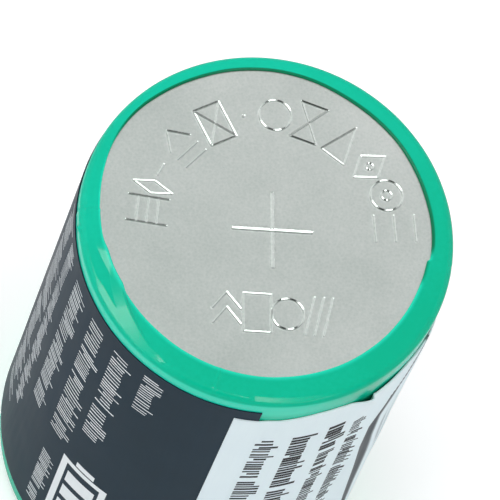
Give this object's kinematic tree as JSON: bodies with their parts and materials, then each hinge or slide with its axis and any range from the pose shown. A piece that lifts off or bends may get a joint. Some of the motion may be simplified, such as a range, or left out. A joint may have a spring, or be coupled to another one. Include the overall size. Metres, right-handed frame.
{
  "type": "stacked button-cell battery pack",
  "caption": "Cylindrical rechargeable battery: a stack of round button cells in a green heat-shrunk sleeve with a wrapped label and a sticker.",
  "frame": {"origin": "middle of the bottom cell's lid, the negative contact the pack stands on", "axes": "+Z along the stack from the negative to the positive contact; +X along one stroke of the stamped plus sign, +Y along the other"},
  "size_m": [0.0257, 0.0257, 0.0392],
  "materials": {
    "nickel_plate": "satin",
    "gasket_nylon": "satin",
    "spring_nickel": "satin",
    "alloy_tablet": "matte",
    "hydroxide_tablet": "matte",
    "felt": "matte",
    "nickel_strip": "satin",
    "sleeve_green": "gloss",
    "label_film": "satin",
    "sticker_paper": "matte"
  },
  "bodies": {
    "root": {"cell_1_cup": "nickel_plate", "cell_1_lid": "nickel_plate", "cell_1_gasket": "gasket_nylon", "cell_1_contact_spring": "spring_nickel", "cell_1_negative_electrode": "alloy_tablet", "cell_1_separator": "felt", "cell_1_positive_electrode": "hydroxide_tablet", "cell_2_cup": "nickel_plate", "cell_2_lid": "nickel_plate", "cell_2_gasket": "gasket_nylon", "cell_2_contact_spring": "spring_nickel", "cell_2_negative_electrode": "alloy_tablet", "cell_2_separator": "felt", "cell_2_positive_electrode": "hydroxide_tablet", "cell_3_cup": "nickel_plate", "cell_3_lid": "nickel_plate", "cell_3_gasket": "gasket_nylon", "cell_3_contact_spring": "spring_nickel", "cell_3_negative_electrode": "alloy_tablet", "cell_3_separator": "felt", "cell_3_positive_electrode": "hydroxide_tablet", "cell_4_cup": "nickel_plate", "cell_4_lid": "nickel_plate", "cell_4_gasket": "gasket_nylon", "cell_4_contact_spring": "spring_nickel", "cell_4_negative_electrode": "alloy_tablet", "cell_4_separator": "felt", "cell_4_positive_electrode": "hydroxide_tablet", "cell_5_cup": "nickel_plate", "cell_5_lid": "nickel_plate", "cell_5_gasket": "gasket_nylon", "cell_5_contact_spring": "spring_nickel", "cell_5_negative_electrode": "alloy_tablet", "cell_5_separator": "felt", "cell_5_positive_electrode": "hydroxide_tablet", "cell_6_cup": "nickel_plate", "cell_6_lid": "nickel_plate", "cell_6_gasket": "gasket_nylon", "cell_6_contact_spring": "spring_nickel", "cell_6_negative_electrode": "alloy_tablet", "cell_6_separator": "felt", "cell_6_positive_electrode": "hydroxide_tablet", "link_1_2": "nickel_strip", "link_2_3": "nickel_strip", "link_3_4": "nickel_strip", "link_4_5": "nickel_strip", "link_5_6": "nickel_strip", "shrink_sleeve": "sleeve_green", "wrap_label": "label_film", "address_sticker": "sticker_paper"}
  },
  "joints": []
}
